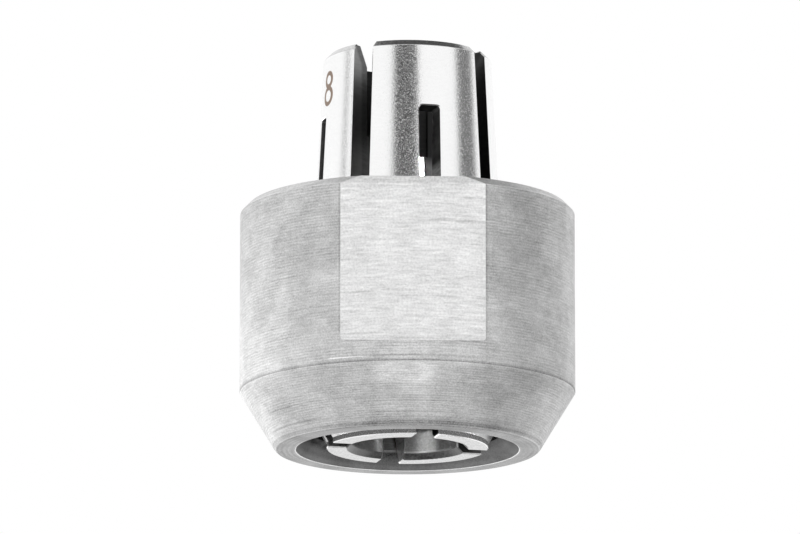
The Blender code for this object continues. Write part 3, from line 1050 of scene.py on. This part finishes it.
class BuildStage(bpy.types.Operator):
    """Set up the floor, world, lights, reflection cards and camera"""

    bl_idname = "collet_looks.stage"
    bl_label = "Build Stage"

    def execute(self, context):
        stage = context.scene.collet_stage_settings
        self.build_camera(context, stage)
        self.build_floor(stage)
        self.build_world(context)
        self.build_cards(stage)
        self.build_lamps(stage)
        context.scene.view_settings.view_transform = "Standard"
        return {"FINISHED"}

    def build_camera(self, context, stage):
        """The photo's camera, a long lens that looks up at the object's middle."""
        away = direction(stage.camera_angle, stage.camera_rise)
        right = Vector((math.cos(stage.camera_angle), math.sin(stage.camera_angle), 0.0))
        target = Vector((0.0, 0.0, stage.target_height)) + right * stage.target_side
        data = bpy.data.cameras.new("photo_camera")
        data.lens = stage.lens
        data.sensor_width = SENSOR_WIDTH
        data.clip_start = 0.01
        camera = add_object("photo_camera", data)
        camera.location = target + away * stage.camera_distance
        camera.rotation_euler = away.to_track_quat("Z", "Y").to_euler()
        context.scene.camera = camera

    def build_floor(self, stage):
        """A pale floor that is seen from above only, so that the camera, which looks up at the
        part from below the floor's level, sees the part through it."""
        builder = bmesh.new()
        bmesh.ops.create_circle(builder, cap_ends=True, segments=96, radius=0.6)
        material, tree = new_material("pale_floor")
        paint = node(tree, "BsdfDiffuse", {"Color": (*stage.floor_colour, 1.0)})
        clear = node(tree, "BsdfTransparent")
        side = node(tree, "NewGeometry").node.outputs["Backfacing"]
        node(tree, "OutputMaterial",
             {"Surface": node(tree, "MixShader", {0: side, 1: paint, 2: clear})})
        floor = mesh_object("pale_floor", builder, [material])
        floor.location.z = -0.02 * MM
        hide_from(floor, "glossy", "diffuse", "transmission", "shadow")

    def build_world(self, context):
        """White all round, and a little weaker as a source of light than as a backdrop."""
        world = bpy.data.worlds.new("white_studio")
        tree = empty_tree(world)
        path = node(tree, "LightPath").node.outputs
        seen = maths(tree, "MAXIMUM", path["Is Camera Ray"], path["Is Glossy Ray"])
        seen = maths(tree, "MAXIMUM", seen, path["Is Transmission Ray"])
        light = node(tree, "Background",
                     {"Color": (1.0, 1.0, 1.0, 1.0), "Strength": mixed(tree, seen, 0.75, 1.0)})
        node(tree, "OutputWorld", {"Surface": light})
        context.scene.world = world

    def build_cards(self, stage):
        """Cards of one grey each, from a start to an end in degrees from the camera's bearing
        and from a low to a high height, and two level ones."""
        for name, start, end, low, high, grey in (
            ("front_card", -18.7, 13.5, 0.06, 0.24, 0.07),
            ("right_card", 69.8, 98.0, 0.06, 0.22, 0.17),
            ("left_card", -94.0, -86.0, 0.08, 0.2, 0.45),
            ("low_right_card", 70.0, 118.0, -0.62, -0.14, 0.45),
            ("far_right_card", 98.0, 130.0, -0.06, 0.09, 0.6),
            ("left_reflector", -165.0, -86.0, -0.12, 0.09, 1.75),
        ):
            curved_card(name, stage.card_distance, stage.camera_angle + math.radians(start),
                        stage.camera_angle + math.radians(end), low, high, grey)
        level_card("low_card", 0.0, 0.0, -0.3, 0.15, 0.75)
        level_card("high_card", 0.08, 0.15, 0.4, 0.2, 0.1)

    def build_lamps(self, stage):
        """A softbox at the front, and strips of light into the bore and the nose. Each strip
        lights a place on a wall, at a bearing, radius and height, from a bearing and a rise."""
        distance, size, power = 0.6, 0.12, 0.25
        away = direction(math.radians(-4.0), math.radians(2.0))
        self.add_lamp("front_softbox", away * distance, away, size, size, power)
        for name, bearing, radius, lit_from, rise, height, width, tall, power in (
            ("bore_strip_right", 159.2, 4.0, -41.6, -14.0, 1.4, 1.7, 1.6, 5.3e-6),
            ("bore_strip_left", 211.5, 4.0, 63.0, -14.0, 1.4, 0.55, 1.6, 1.1e-6),
            ("bore_strip_top", 165.0, 4.0, -24.0, 12.0, 21.7, 0.45, 1.6, 9e-6),
            ("nose_strip_right", 55.0, 5.9, 112.0, -20.0, 0.25, 1.8, 0.6, 3e-7),
            ("nose_strip_left", -55.0, 5.9, -112.0, -20.0, 0.25, 1.0, 0.6, 7e-8),
        ):
            wall = direction(stage.camera_angle + math.radians(bearing), 0.0) * radius * MM
            away = direction(stage.camera_angle + math.radians(lit_from), math.radians(rise))
            place = wall + Vector((0.0, 0.0, height * MM)) + away * STRIP_DISTANCE
            lamp = self.add_lamp(name, place, away, width * MM, tall * MM, power)
            lamp.data.spread = STRIP_SPREAD

    def add_lamp(self, name, place, facing, width, height, power):
        """A rectangular lamp that shines against the direction it lies in."""
        data = bpy.data.lights.new(name, "AREA")
        data.shape = "RECTANGLE"
        data.size = width
        data.size_y = height
        data.energy = power
        lamp = add_object(name, data)
        lamp.location = place
        lamp.rotation_euler = facing.to_track_quat("Z", "Y").to_euler()
        lamp.visible_camera = False
        return lamp


class ColletPanel(bpy.types.Panel):
    """Sidebar panel with the building steps of the collet"""

    bl_idname = "VIEW3D_PT_collet_looks"
    bl_label = "Router Collet"
    bl_space_type = "VIEW_3D"
    bl_region_type = "UI"
    bl_category = "Collet"

    def draw(self, context):
        for operator in OPERATORS:
            self.layout.operator(operator.bl_idname)


GROUPS = {
    "collet_nut_settings": NutSettings,
    "spring_collet_settings": ColletSettings,
    "retaining_ring_settings": RingSettings,
    "collet_stage_settings": StageSettings,
}
OPERATORS = (BuildNut, BuildRetainingRing, BuildSpringCollet, BuildStage)
CLASSES = (*GROUPS.values(), *OPERATORS, ColletPanel)


def register():
    for item in CLASSES:
        bpy.utils.register_class(item)
    for name, group in GROUPS.items():
        setattr(bpy.types.Scene, name, PointerProperty(type=group))


def unregister():
    for name in GROUPS:
        delattr(bpy.types.Scene, name)
    for item in reversed(CLASSES):
        bpy.utils.unregister_class(item)


def main():
    register()
    bpy.ops.collet_looks.nut()
    bpy.ops.collet_looks.retaining_ring()
    bpy.ops.collet_looks.spring_collet()
    bpy.ops.collet_looks.stage()


if __name__ == "__main__":
    main()
